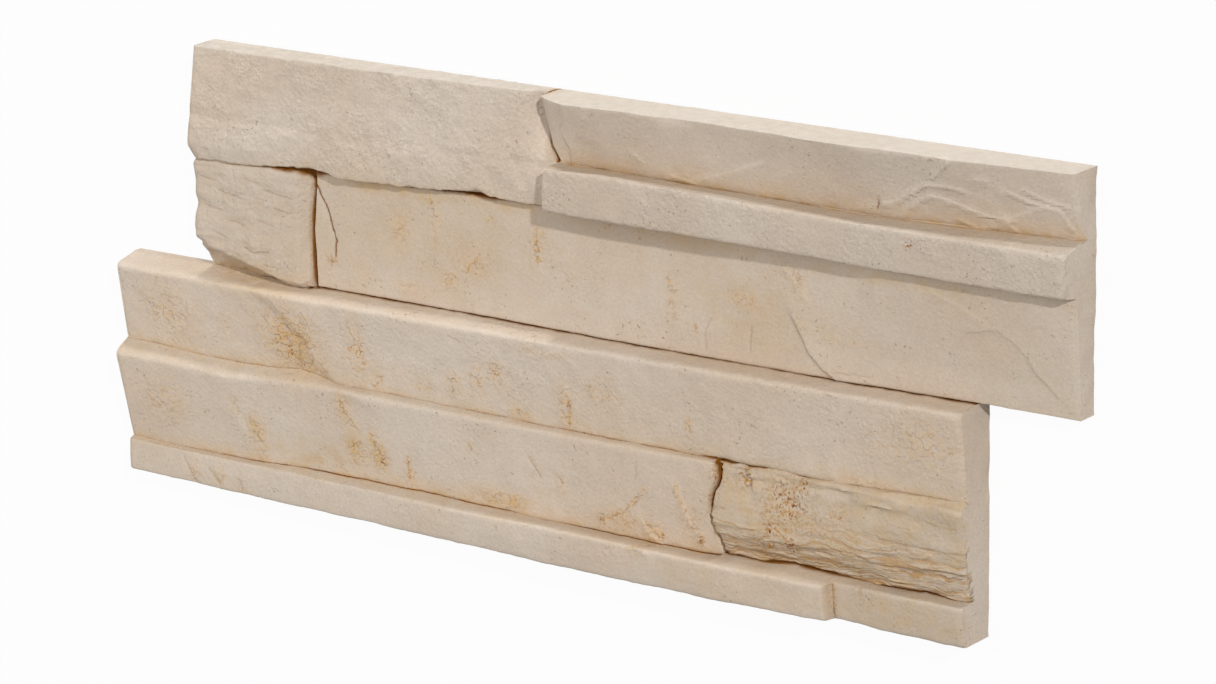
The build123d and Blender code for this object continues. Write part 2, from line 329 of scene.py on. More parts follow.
# Rust: strength and line of streaks, then (x, y, radius, strength) of spots
STREAKS = [
    (0.7, [(172, 150), (174, 142), (176, 139)]), (0.7, [(184, 115), (178, 111)]),
    (0.9, [(227, 140), (226, 135), (228, 132), (227, 127)]), (0.5, [(230, 141), (230, 139)]),
    (0.7, [(196, 125), (189, 118)]), (0.6, [(293, 129), (297, 125)]), (0.5, [(306, 112), (307, 109)]),
    (0.8, [(91, 74), (93, 77), (98, 77)]), (0.8, [(137, 84), (137, 75), (139, 71)]),
    (0.6, [(143, 62), (148, 67)]), (0.6, [(186, 73), (186, 65)]), (0.6, [(199, 76), (200, 71)]),
    (0.6, [(207, 82), (207, 79)]), (0.6, [(210, 78), (212, 76)]), (0.6, [(218, 64), (224, 61)]),
    (0.8, [(247, 72), (246, 62)]), (0.7, [(308, 74), (308, 70)]), (0.8, [(73, 37), (76, 29), (79, 24)]),
    (0.6, [(126, 57), (127, 49), (133, 42)]), (0.8, [(130, 34), (129, 25)]),
    (0.9, [(140, 40), (143, 32), (146, 27)]), (0.8, [(159, 33), (159, 23), (159, 19)]),
    (0.5, [(194, 45), (194, 42)]), (0.5, [(241, 37), (242, 34)]),
    (0.6, [(284, 40), (274, 29), (260, 21)]), (1, [(283, 24), (290, 19.4)]),
    (0.6, [(300, 45), (302, 37), (310, 24)]), (0.8, [(312, 23), (309, 20)]),
    (0.9, [(335, 57), (337, 50)]), (0.8, [(377, 15), (377.5, 3)]),
]
SPOTS = [
    (417, 164.6, 2.4, 0.9), (417, 164.6, 1.2, 2), (173, 119, 2, 0.8), (321, 51, 3, 1),
    (318, 41, 3, 0.9), (332, 52, 4, 0.6), (117, 113, 2, 0.7), (301, 120, 1.6, 0.5),
    (296, 114, 1.6, 0.5), (358, 141, 2.5, 0.4), (98, 70, 2.2, 0.9), (103, 66, 2.5, 0.9),
    (97, 73, 8, 0.4), (133, 89, 1.5, 0.5), (131, 78, 1.6, 0.6), (258, 81, 1.6, 0.5),
    (274, 76, 1.6, 0.5), (145, 28, 2.4, 0.9), (355, 46, 11, 0.9), (349, 34, 4, 1), (358, 29, 4, 1),
    (363, 54, 4, 0.9), (349, 34, 2, 2), (348, 27, 2, 1.6), (358, 28, 2.2, 2), (335, 52, 2.2, 1.8),
    (356, 45, 4, 1.5), (381, 45, 5, 0.6), (370, 40, 12, 0.35), (345, 25, 6, 0.5), (334, 54, 3, 0.9),
    (392, 14, 6, 0.35), (290, 19.4, 1.3, 2), (310, 20, 1.2, 1.6), (260, 21, 2, 1),
]

# Flaky patches: (x, y, half length, half height, strength)
FLAKES = [
    (156, 131, 6, 8, 0.5), (174, 137, 3, 8, 0.5), (192, 121, 8, 5, 0.5), (180, 113, 5, 4, 0.6),
    (227, 134, 3, 9, 0.7), (158, 106, 6, 4, 0.5), (134, 109, 4, 5, 0.3), (117, 114, 4, 4, 0.5),
    (203, 142, 3, 4, 0.4), (295, 122, 3, 8, 0.6), (331, 126, 8, 4, 0.4), (356, 138, 7, 8, 0.4),
    (378, 117, 14, 5, 0.25), (30, 78, 14, 12, 0.55), (62, 77, 5, 6, 0.3), (98, 77, 15, 14, 1),
    (135, 78, 5, 12, 0.8), (111, 66, 10, 4, 0.8), (144, 64, 4, 4, 0.6), (187, 70, 5, 6, 0.6),
    (199, 74, 4, 8, 0.6), (209, 78, 6, 6, 0.7), (220, 62, 5, 3, 0.7), (237, 92, 14, 2, 0.4),
    (245, 70, 4, 10, 0.8), (171, 66, 5, 3, 0.5), (264, 78, 8, 7, 0.4), (307, 70, 2, 5, 0.7),
    (419, 82, 22, 12, 0.45), (394, 61, 9, 2, 0.5), (24, 37, 12, 10, 0.5), (66, 40, 5, 7, 0.4),
    (76, 28, 5, 10, 0.7), (127, 50, 4, 8, 0.7), (132, 31, 5, 7, 0.8), (143, 31, 5, 8, 0.9),
    (159, 27, 3, 8, 0.6), (210, 22, 16, 4, 0.6), (228, 40, 4, 7, 0.3), (286, 20, 5, 6, 0.8),
    (306, 30, 5, 10, 0.5), (272, 24, 9, 4, 0.5), (240, 35, 3, 5, 0.5), (39, 6, 5, 6, 0.5),
    (55, 5, 6, 6, 0.5), (68, 4, 5, 6, 0.4),
]

# Ochre washes: (x, y, half length, half height, strength); a few of them are warm painted shade under
# overhangs
OCHRE_AND_SHADE_PATCHES = [
    # The first, under the corner stone's heel, is ochre that also warms the shade there: partly painted
    # shade
    (70, 102, 32, 7, 0.9), (107, 24, 26, 7, 0.8), (205, 20, 12, 4, 0.8), (234, 29, 10, 3, 0.4),
    (266, 22, 14, 6, 0.5), (335, 122, 45, 22, 0.4), (100, 72, 14, 9, 0.5), (175, 127, 85, 28, 0.35),
    (375, 118, 12, 6, 0.3), (355, 40, 30, 16, 0.35), (385, 22, 40, 6, 0.6), (150, 68, 60, 7, 0.25),
    (390, 62, 30, 4, 0.6), (410, 9, 45, 10, 0.55), (385, 36, 65, 24, 0.45), (330, 8, 60, 8, 0.3),
    (20, 59, 40, 4, 0.3), (345, 22, 22, 5, 0.9), (143, 32, 6, 9, 0.7), (130, 32, 6, 9, 0.8),
    (210, 21, 16, 5, 0.9), (76, 30, 6, 10, 0.6), (101, 73, 12, 10, 0.9), (127, 50, 4, 8, 0.5),
    # These four lie under the rough foot's lower edge and under the ledge, where their shadows fall: warm
    # painted shade
    (150, 149, 40, 4, 0.9), (215, 150, 25, 4, 0.9), (300, 148, 60, 5, 0.6), (400, 146, 60, 4, 0.6),
]

# Noise: directions in its table, shift that keeps its cells above zero, gain to about -1 to 1
NOISE_TABLE, NOISE_SHIFT, NOISE_GAIN = 256, 300.0, 1.6

# How far apart the noise of the edges is read: for each rail, for each band, and for height and depth
LEVEL_GAP, BAND_GAP, LIFT_GAP = 31.0, 7.0, 500

# Seeds
LOWER_SEED, UPPER_SEED = 20, 10
EDGE_SEED, SWELL_SEED, LUMP_SEED, GRAIN_SEED, BEDDING_SEED, FLAKE_SEED, END_SEED = range(7)


def smoothstep(low, high, value):
    """0 below low, 1 above high, and smooth between them."""
    t = np.clip((value - low) / (high - low), 0, 1)
    return t * t * (3 - 2 * t)


def noise(points, size, seed):
    """Gradient noise in about -1 to 1, with lumps of the given size, at an array of (x, y, z) points."""
    rng = np.random.default_rng(seed)
    table = rng.permutation(NOISE_TABLE)
    slopes = rng.normal(size=(NOISE_TABLE, 3))
    slopes /= np.linalg.norm(slopes, axis=1, keepdims=True)
    scaled = points / size + NOISE_SHIFT
    cell = np.floor(scaled).astype(int)
    offset = scaled - cell
    blend = offset ** 3 * (offset * (offset * 6 - 15) + 10)
    total = np.zeros(points.shape[:-1])
    for corner in itertools.product((0, 1), repeat=3):
        at = cell + corner
        key = 0
        for axis in range(3):
            key = table[(key + at[..., axis]) % NOISE_TABLE]
        weight = np.prod(np.where(corner, blend, 1 - blend), axis=-1)
        total += weight * np.sum(slopes[key] * (offset - corner), axis=-1)
    return NOISE_GAIN * total


def fractal(points, size, seed, octaves=3):
    """Noise with finer and weaker noise on top of it."""
    return sum(noise(points, size / 2 ** k, seed * 16 + k) / 2 ** k for k in range(octaves))


def along(points, x):
    """Each further column of a list of (x, ...) points, interpolated at x."""
    table = np.array(points, dtype=float)
    return [np.interp(x, table[:, 0], table[:, k]) for k in range(1, table.shape[1])]


def crowded_columns():
    """Places of the mesh's columns along the panel, closer together at joints and ends."""
    x = np.linspace(LOWER_START, UPPER_END, COLUMN_SAMPLES)
    density = np.ones_like(x)
    for place, *_ in UPRIGHTS.values():
        density += JOINT_CROWDING * np.exp(-((x - place) / JOINT_REACH) ** 2)
    ends = (LOWER_START, UPPER_START, LOWER_END, UPPER_END)
    for place in ends:
        density += END_CROWDING * np.exp(-((x - place) / END_REACH) ** 2)
    total = np.concatenate(([0], np.cumsum((density[1:] + density[:-1]) / 2 * np.diff(x))))
    columns = np.interp(np.arange(0, total[-1], COLUMN_STEP), total, x)
    for place in ends:
        columns[np.argmin(abs(columns - place))] = place
    return columns


def band_rails(band, x):
    """The three rails of a band as arrays of (y, z), with its stones set side by side."""
    rails = []
    for level in range(3):
        y, z = along(RAILS[band[0]][level], x)
        wander = np.full_like(x, FINISH[band[0]][-1])
        for left, right in zip(band, band[1:]):
            place, _, half_width, _ = UPRIGHTS[left, right]
            share = smoothstep(place - half_width, place + half_width, x)
            y_right, z_right = along(RAILS[right][level], x)
            y = y + share * (y_right - y)
            z = z + share * (z_right - z)
            wander = wander + share * (FINISH[right][-1] - wander)
        rails.append((y, z, wander))
    return rails


def wander_edges(rails, x, seed):
    """Rails with the small irregular wander of a split edge."""
    moved = []
    for level, (y, z, wander) in enumerate(rails):
        place = np.full_like(x, LEVEL_GAP * level), np.full_like(x, BAND_GAP * seed)
        line = np.stack([x, *place], axis=-1)
        sizes = list(enumerate(EDGE_SIZES))
        shift = sum(noise(line, size, EDGE_SEED + k) * EDGE_FALL ** k for k, size in sizes)
        lift = sum(noise(line + LIFT_GAP, size, EDGE_SEED + k) * EDGE_FALL ** k for k, size in sizes)
        moved.append((y + wander * shift, z + LIFT_SHARE * wander * lift))
    return moved


def groove(below, above, depth, lean=None):
    """The bottom of the joint between the upper edge of one band and the lower edge of the next."""
    if lean is None:
        lean = np.clip(0.5 + (above[1] - below[1]) / GROOVE_SPAN, *GROOVE_LEANS)
    y = above[0] + lean * (below[0] - above[0])
    z = np.minimum(below[1], above[1]) - depth
    return y, z


def course_controls(bands, x, seed):
    """Rails and grooves of a course, from its lowest rail to its highest."""
    controls = []
    for i, band in enumerate(bands):
        rails = wander_edges(band_rails(band, x), x, seed + i)
        if controls:
            stone = bands[i - 1][0]
            depth, *_ = along(LONG_JOINTS[stone], x)
            lean = along(LEANS[stone], x)[0] if stone in LEANS else None
            controls.append(groove(controls[-1], rails[0], depth, lean))
        controls.extend(rails)
    return controls


def skin(controls, rows):
    """Rows of points between neighbouring rails, closer together near the rails."""
    y, z = [], []
    for (y0, z0), (y1, z1), count in zip(controls, controls[1:], rows):
        s = np.arange(count) / count
        t = (s - ROW_CROWDING * np.sin(2 * np.pi * s))[:, None]
        y.append(y0 + t * (y1 - y0))
        z.append(z0 + t * (z1 - z0))
    y.append(controls[-1][0][None])
    z.append(controls[-1][1][None])
    return np.concatenate(y), np.concatenate(z)


def soften(values, times):
    """Rounds the edges across a grid's rows and keeps its first and last row."""
    for _ in range(times):
        values[1:-1] = values[:-2] / 4 + values[1:-1] / 2 + values[2:] / 4
    return values


def round_rails(values, rows):
    """Rounds the upper edges of the lower course's stones further."""
    number = np.arange(len(values))
    for rail in SOFT_RAILS:
        near = np.exp(-((number - sum(rows[:rail])) / SOFT_REACH) ** 2)[:, None]
        for _ in range(SOFT_TIMES):
            values += near * (soften(values.copy(), 1) - values)
    return values


def crisp_top(values, sharp, rows):
    """Keeps the upper course's top edge crisper than its other edges."""
    rail = sum(rows[:-1])
    edge = slice(rail - CRISP_ROWS, rail + CRISP_ROWS + 1)
    values[edge] += CRISP_SHARE * (sharp[edge] - values[edge])
    return values


def row_bands(rows):
    """For each row of a course, the band that it belongs to."""
    segment = np.repeat(np.arange(len(rows)), rows)
    return np.append(segment // BAND_PARTS, segment[-1] // BAND_PARTS)


def grid_normals(points):
    """Unit normals of a grid of points."""
    normal = np.cross(np.gradient(points, axis=1), np.gradient(points, axis=0))
    return normal / np.linalg.norm(normal, axis=-1, keepdims=True).clip(1e-9)


def stone_values(table, bands, bands_of_rows, x):
    """What a table says of each stone, at each point of a course."""
    values = np.zeros((len(bands_of_rows), len(x), len(table[bands[0][0]])))
    for i, band in enumerate(bands):
        level = np.repeat(np.array(table[band[0]])[None], len(x), axis=0)
        for left, right in zip(band, band[1:]):
            place = UPRIGHTS[left, right][0]
            share = smoothstep(place - STONE_BLEND, place + STONE_BLEND, x)[:, None]
            level = level + share * (np.array(table[right]) - level)
        values[bands_of_rows == i] = level
    return values


def weather(points, amounts, hold):
    """Displaces a grid along its normals by the swell, lumps, grain, bedding and flakes of its stones."""
    swell = fractal(points, SWELL_SIZE, SWELL_SEED, 2)
    lumps = fractal(points, LUMP_SIZE, LUMP_SEED, 3)
    grain = fractal(points, GRAIN_SIZE, GRAIN_SEED, 2)
    bend = BEDDING_BEND * fractal(points, BEND_SIZE, BEDDING_SEED, 2)
    bent = points + bend[..., None] * np.array((0, 1, 0))
    beds = fractal(bent, BEDDING_SIZE, BEDDING_SEED, 3)
    beds = 1 - BEDDING_SHARPNESS * np.abs(beds)
    chips = fractal(points, FLAKE_SIZE, FLAKE_SEED, 3)
    flakes = sum(smoothstep(*level, chips) for level in FLAKE_LEVELS) - 1
    height = np.sum(amounts * np.stack([swell, lumps, grain, beds, flakes], axis=-1), axis=-1)
    return points + grid_normals(points) * (height * hold)[..., None]


def lean_columns(bands, bands_of_rows, y, x):
    """Places of the columns in each row, which follow the wander of the upright joints."""
    place_x = np.repeat(x[None], len(y), axis=0)
    for i, band in enumerate(bands):
        rows = bands_of_rows == i
        for pair in zip(band, band[1:]):
            place, line, _, _ = UPRIGHTS[pair]
            wander, = along(line, y[rows])
            place_x[rows] += (wander - place) * np.exp(-((x - place) / LEAN_REACH) ** 2)
    return place_x


def round_ends(points, x):
    """Takes the sharp edges off the ends of a course."""
    for end in (x[0], x[-1]):
        fall = END_ROUND * np.exp(-((x - end) / END_WIDTH) ** 2)
        points[..., 2] -= fall * smoothstep(*END_HEIGHTS, points[..., 2])


def cut_uprights(bands, bands_of_rows, rows, z, x):
    """Sinks the upright joints into a course's face."""
    parts = [np.full(count, number % BAND_PARTS in (1, 2)) for number, count in enumerate(rows)]
    inner = np.append(np.concatenate(parts), False)
    for i, band in enumerate(bands):
        faces = soften(((bands_of_rows == i) & inner).astype(float), EDGE_SOFTENING)[:, None]
        for pair in zip(band, band[1:]):
            place, _, half_width, depth = UPRIGHTS[pair]
            z = z - faces * depth * np.exp(-((x - place) / half_width) ** 2)
    return z


def trace(lines, x, y):
    """The nearest of some lines: distance to it, distance across it (positive at its left), strength."""
    nearest = np.full(x.shape, np.inf)
    side = np.zeros(x.shape)
    strength = np.zeros(x.shape)
    for size, line in lines:
        for (x0, y0), (x1, y1) in zip(line, line[1:]):
            length = math.hypot(x1 - x0, y1 - y0)
            t = ((x - x0) * (x1 - x0) + (y - y0) * (y1 - y0)) / length ** 2
            across = ((x1 - x0) * (y - y0) - (y1 - y0) * (x - x0)) / length
            beyond = np.maximum(np.maximum(-t, t - 1), 0) * length
            distance = np.hypot(across, beyond)
            closer = distance < nearest
            nearest = np.where(closer, distance, nearest)
            side = np.where(closer, across, side)
            strength = np.where(closer, size * smoothstep(LINE_FADE, 0, beyond), strength)
    return nearest, side, strength * smoothstep(LINE_REACH, LINE_REACH / 2, nearest)


def chisel(points):
    """Raises the broken layers, cuts the scores and dents the face."""
    x, y = points[..., 0], points[..., 1]
    sharp = [(height, reach, STEP_WIDTH, line) for height, reach, line in STEPS]
    for height, reach, width, line in sharp + FOLDS:
        nearest, side, _ = trace([(1, line)], x, y)
        raised = smoothstep(width, -width, side * np.sign(height)) * np.exp(-(nearest / reach) ** 2)
        points[..., 2] += abs(height) * raised
    for depth, _, line in SCORES:
        nearest, _, _ = trace([(1, line)], x, y)
        points[..., 2] -= depth * np.exp(-(nearest / SCORE_WIDTH) ** 2)
    for dent_x, dent_y, half_length, half_height, height in DENTS:
        away = np.hypot((x - dent_x) / half_length, (y - dent_y) / half_height)
        points[..., 2] += height * np.exp(-away ** 2)


def mark_looks(points):
    """Scores, steps, rust streaks, rust spots and flaky patches at each point of a course."""
    x, y = points[..., 0], points[..., 1]
    looks = {}
    _, looks["score_side"], looks["score"] = trace([(dark, line) for _, dark, line in SCORES], x, y)
    # a line drawn the other way round has its proud side on the other side
    steps = [(abs(height), line if height > 0 else line[::-1]) for height, _, line in STEPS]
    _, looks["step_side"], looks["step"] = trace(steps, x, y)
    _, looks["streak_side"], looks["streak"] = trace(STREAKS, x, y)
    spots = [(spot_x, spot_y, radius, radius, strength) for spot_x, spot_y, radius, strength in SPOTS]
    looks["spot"] = patches(spots, x, y)
    looks["flake"] = patches(FLAKES, x, y)
    return looks


def patches(places, x, y):
    """How strongly some soft-edged patches cover each point."""
    cover = np.zeros(x.shape)
    for patch_x, patch_y, half_length, half_height, strength in places:
        away = np.hypot((x - patch_x) / half_length, (y - patch_y) / half_height)
        cover = np.maximum(cover, strength * np.exp(-away ** 2))
    return cover


def ochre_and_shade_amount(points, bands, bands_of_rows, rows):
    """How far ochre has washed over a course: in patches, above its joints and on the ledges there. A few
    of the patches are warm painted shade under overhangs.
    """
    x, y, z = (points[..., k] for k in range(3))
    ochre_and_shade = patches(OCHRE_AND_SHADE_PATCHES, x, y)
    ends = np.cumsum(rows)
    for i, band in enumerate(bands):
        if band[0] in LONG_JOINTS:
            joint = points[ends[BAND_PARTS * i + 3]]
            _, _, strength = along(LONG_JOINTS[band[0]], joint[:, 0])
            above = bands_of_rows == i + 1
            climb = strength * np.exp(-abs(y[above] - joint[:, 1]) / WASH_REACH)
            ochre_and_shade[above] = np.maximum(ochre_and_shade[above], climb)
            ledge = slice(ends[BAND_PARTS * i + 2], ends[BAND_PARTS * i + 3])
            spread = LEDGE_WASH * strength * np.exp(-abs(z[ledge] - joint[:, 2]) / LEDGE_REACH)
            ochre_and_shade[ledge] = np.maximum(ochre_and_shade[ledge], spread)
    return ochre_and_shade


def joint_looks(points, bands, bands_of_rows, rows, x):
    """How dark the joints of a course are at each point, and how far their rust reaches out of them."""
    ends = np.cumsum(rows)
    strides = np.linalg.norm(np.diff(points, axis=0), axis=-1)
    reached = np.concatenate([np.zeros((1, len(x))), np.cumsum(strides, axis=0)])
    dark, rim = np.zeros(reached.shape), np.zeros(reached.shape)
    for i, band in enumerate(bands):
        if band[0] in LONG_JOINTS:
            depth, darkness, _ = along(LONG_JOINTS[band[0]], x)
            away = abs(reached - reached[ends[BAND_PARTS * i + 3]])
            width = LINE_WIDTH + LINE_GROWTH * depth ** 2
            dark = np.maximum(dark, darkness * np.exp(-(away / width) ** 2))
            rim = np.maximum(rim, darkness * np.exp(-away / (RIM_REACH + RIM_GROWTH * depth)))
        for pair in zip(band, band[1:]):
            place, _, half_width, depth = UPRIGHTS[pair]
            gap = np.exp(-((x - place) / (GAP_SHARE * half_width)) ** 2) * smoothstep(*GAP_DEPTHS, depth)
            halo = np.exp(-abs(x - place) / (HALO_SHARE * half_width)) * smoothstep(*HALO_DEPTHS, depth)
            here = bands_of_rows == i
            dark[here] = np.maximum(dark[here], gap)
            rim[here] = np.maximum(rim[here], halo)
    return dark, rim


def blur(values, times):
    """Smooths a grid of values in both directions."""
    for _ in range(times):
        padded = np.pad(values, ((1, 1), (1, 1)) + ((0, 0),) * (values.ndim - 2), mode="edge")
        beside = padded[:-2, 1:-1] + padded[2:, 1:-1] + padded[1:-1, :-2] + padded[1:-1, 2:]
        values = (beside + 2 * values) / 6
    return values


def proud_amount(points, times):
    """How far each point stands proud of its surroundings, in mm."""
    return np.sum((points - blur(points, times)) * grid_normals(points), axis=-1)


def build_course(bands, rows, x, first, last, seed):
    """A course's face as a grid of points, with its finish at each of them."""
    controls = course_controls(bands, x, seed)
    y, z = skin([first, *controls, last], rows)
    rounded = [soften(grid.copy(), EDGE_SOFTENING) for grid in (y, z)]
    if bands is LOWER_BANDS:
        y, z = (round_rails(grid, rows) for grid in rounded)
    else:
        y, z = (crisp_top(grid, sharp, rows) for grid, sharp in zip(rounded, (y, z)))
    bands_of_rows = row_bands(rows)
    z = cut_uprights(bands, bands_of_rows, rows, z, x)
    points = np.stack([lean_columns(bands, bands_of_rows, y, x), y, z], axis=-1)
    round_ends(points, x)
    chisel(points)
    hold = np.ones(y.shape)
    hold[[0, -1]] = 0
    hold[:, [0, -1]] = 0
    amounts = stone_values(FINISH, bands, bands_of_rows, x)[..., :5]
    points[0] = np.stack([x, *first], axis=-1)
    points[-1] = np.stack([x, *last], axis=-1)
    points = weather(points, amounts, hold)
    points[..., 2] = np.maximum(points[..., 2], 0)
    points[:, [0, -1], 0] = x[[0, -1]]
    near, far = proud_amount(points, NEAR_BLUR), proud_amount(points, FAR_BLUR)
    looks = mark_looks(points)
    looks["gap"], rim = joint_looks(points, bands, bands_of_rows, rows, x)
    ochre_and_shade = ochre_and_shade_amount(points, bands, bands_of_rows, rows)
    tints = stone_values(TINTS, bands, bands_of_rows, x)
    hollow = np.clip(-far / HOLLOW_DEPTH, 0, 1)
    looks["ochre_and_shade"] = np.maximum.reduce([ochre_and_shade, RIM_WASH * rim, hollow, tints[..., 1]])
    looks["spot"] = np.maximum(looks["spot"], RIM_RUST * rim ** 2)
    upward = smoothstep(*LEDGE_SLOPES, grid_normals(points)[..., 1])
    top = upward * smoothstep(*TOP_BAND, points[..., 1])
    # Proud edges turn pale from wear, and the upward faces along the panel's top get a painted highlight
    looks["worn"] = np.maximum(np.clip(near / WORN_HEIGHT, 0, 1), PAINTED_TOP_HIGHLIGHT * top)
    # Each stone's own tone, plus painted shade on its upward faces below the panel's top
    looks["shade"] = tints[..., 0] + tints[..., 2] * (upward - top)
    looks["rough"] = np.clip(amounts[..., 2] / ROUGH_GRAIN, 0, 1)
    bedded = np.clip(amounts[..., 3] / FULL_BEDDING, 0, 1)
    looks["beds"] = bedded * smoothstep(*BEDDING_HEIGHTS, points[..., 1])
    return points, looks


columns = crowded_columns()
lower_x = columns[columns <= LOWER_END]
upper_x = columns[columns >= UPPER_START]


def seam(x):
    """The line where the courses meet, and where it goes on along their free ends."""
    upper = wander_edges(band_rails(UPPER_BANDS[0], x), x, UPPER_SEED)[0]
    crown = wander_edges(band_rails(LOWER_BANDS[-1], x), x, LOWER_SEED + 2)[-1]
    depth, *_ = along(LONG_JOINTS["crown"], x)
    y, z = groove(crown, upper, depth)
    free = x < UPPER_START
    y = np.where(free, FREE_SEAM_Y, y)
    z = np.where(free, FREE_SEAM_Z, z)
    past_end = np.interp(x, (LOWER_END, LOWER_END + 2), (y[x <= LOWER_END][-1], COURSE_LINE))
    return np.where(x > LOWER_END, past_end, y), z


seam_y, seam_z = seam(columns)


def lower_course():
    """The lower course, from its back edge up to the seam."""
    line = seam_y[columns <= LOWER_END], seam_z[columns <= LOWER_END]
    back = np.full_like(lower_x, BOTTOM_LINE), np.zeros_like(lower_x)
    return build_course(LOWER_BANDS, LOWER_ROWS, lower_x, back, line, LOWER_SEED)


def upper_course():
    """The upper course, from the seam up to its back edge."""
    line = seam_y[columns >= UPPER_START], seam_z[columns >= UPPER_START]
    back = np.full_like(upper_x, TOP_LINE), np.zeros_like(upper_x)
    return build_course(UPPER_BANDS, UPPER_ROWS, upper_x, line, back, UPPER_SEED)


def skirt(edge):
    """A wall from an edge of the face straight down to the back."""
    drop = np.linspace(0, 1, SKIRT_ROWS + 1)[:, None]
    wall = np.repeat(edge[None], SKIRT_ROWS + 1, axis=0)
    wall[..., 2] = edge[:, 2] * (1 - drop)
    return wall


class Builder:
    """Collects grids of points, with their looks, for one mesh."""

    def __init__(self):
        self.points = []
        self.looks = {name: [] for name in LOOKS}
        self.faces = []
        self.count = 0

    def add(self, grid, looks=None):
        """Adds a grid of points, and returns the numbers of its points."""
        rows, cols = grid.shape[:2]
        number = self.count + np.arange(rows * cols).reshape(rows, cols)
        quads = [number[:-1, :-1], number[:-1, 1:], number[1:, 1:], number[1:, :-1]]
        self.points.append(grid.reshape(-1, 3))
        self.faces.extend(np.stack(quads, axis=-1).reshape(-1, 4).tolist())
        for name in LOOKS:
            self.looks[name].append(looks[name].ravel() if looks else np.zeros(rows * cols))
        self.count += rows * cols
        return number


def panel_mesh():
    """The whole panel as one closed mesh."""
    (lower, lower_looks), (upper, upper_looks) = lower_course(), upper_course()
    left_free = lower[-1, lower_x <= UPPER_START]
    right_free = upper[0, upper_x >= LOWER_END]
    builder = Builder()
    bottom = builder.add(lower, lower_looks)[0]
    top = builder.add(upper, upper_looks)[-1]
    edges = [lower[:, -1], right_free, upper[:, -1], upper[::-1, 0], left_free[::-1], lower[::-1, 0]]
    hems = [builder.add(skirt(edge))[-1] for edge in edges]
    outline = [bottom, *hems[:3], top[::-1], *hems[3:]]
    loop = [int(n) for line in outline for n in line]
    builder.faces.append(loop[::-1])
    points = rough_ends(np.concatenate(builder.points)) * MM + np.array(CORNER)
    mesh = bpy.data.meshes.new("stone_face")
    mesh.from_pydata(points.tolist(), [], builder.faces)
    for name, values in builder.looks.items():
        mesh.attributes.new(name, "FLOAT", "POINT").data.foreach_set("value", np.concatenate(values))
    return weld(mesh)


def rough_ends(points):
    """Lets the ends of the courses wander a little towards the back."""
    wander = END_WANDER * fractal(points, END_SIZE, END_SEED, 2) * smoothstep(*BACK_HEIGHTS, points[:, 2])
    ends = np.isin(points[:, 0], (LOWER_START, UPPER_START, LOWER_END, UPPER_END))
    points[:, 0] += np.where(ends, wander, 0)
    return points


def weld(mesh):
    """Joins the grids of a mesh where they meet."""
    bm = bmesh.new()
    bm.from_mesh(mesh)
    bmesh.ops.remove_doubles(bm, verts=bm.verts, dist=WELD_DISTANCE)
    bmesh.ops.recalc_face_normals(bm, faces=bm.faces)
    bm.to_mesh(mesh)
    bm.free()
    mesh.polygons.foreach_set("use_smooth", np.ones(len(mesh.polygons), dtype=bool))
    mesh.set_sharp_from_angle(angle=math.radians(SHARP_ANGLE))
    return mesh


panel = bpy.data.objects.new("stone_face", panel_mesh())
bpy.context.scene.collection.objects.link(panel)

# Camera at the photograph's viewing angle
LENS = 145.5
SENSOR = 36.0
AIM = Vector((0.0113, -0.0054, 0.0))
AZIMUTH, ELEVATION, ROLL = 35.57, 15.70, -0.86
DISTANCE = 2.047


def photo_camera():
    """A camera that looks at the panel as if it stood on its lower edge."""
    azimuth, elevation, roll = (math.radians(a) for a in (AZIMUTH, ELEVATION, ROLL))
    level = math.cos(elevation)
    back = Vector((math.sin(azimuth) * level, math.sin(elevation), math.cos(azimuth) * level))
    right = Vector((0, 1, 0)).cross(back).normalized()
    up = back.cross(right)
    level_right = right * math.cos(roll) + up * math.sin(roll)
    level_up = up * math.cos(roll) - right * math.sin(roll)
    data = bpy.data.cameras.new("camera")
    data.lens = LENS
    data.sensor_width = SENSOR
    camera = bpy.data.objects.new("camera", data)
    turn = Matrix((level_right, level_up, back)).transposed().to_4x4()
    camera.matrix_world = Matrix.Translation(AIM + back * DISTANCE) @ turn
    bpy.context.scene.collection.objects.link(camera)
    bpy.context.scene.camera = camera


photo_camera()

# Colours of the stone
CREAM = (209, 194, 178)
SAND = (205, 187, 168)
PALE = (222, 212, 199)
PIT = (150, 130, 110)
OCHRE = (201, 168, 114)
FLECK = (180, 134, 74)
RUST = (174, 118, 30)
BROWN = (128, 76, 4)
DOT = (118, 62, 4)
CRUST = (222, 180, 122)
SPECK = (236, 229, 219)

# Roughness and sheen of the stone, and how its bedding is drawn out
ROUGHNESS, SHEEN = 0.88, 0.3
LAYER_SCALE = (0.05, 0.8, 0.2)


def linear(rgb):
    """A colour given as 0 to 255 display values, for a shader socket."""
    return tuple(((c / 255 + 0.055) / 1.055) ** 2.4 if c > 10 else c / 3294.6 for c in rgb) + (1.0,)


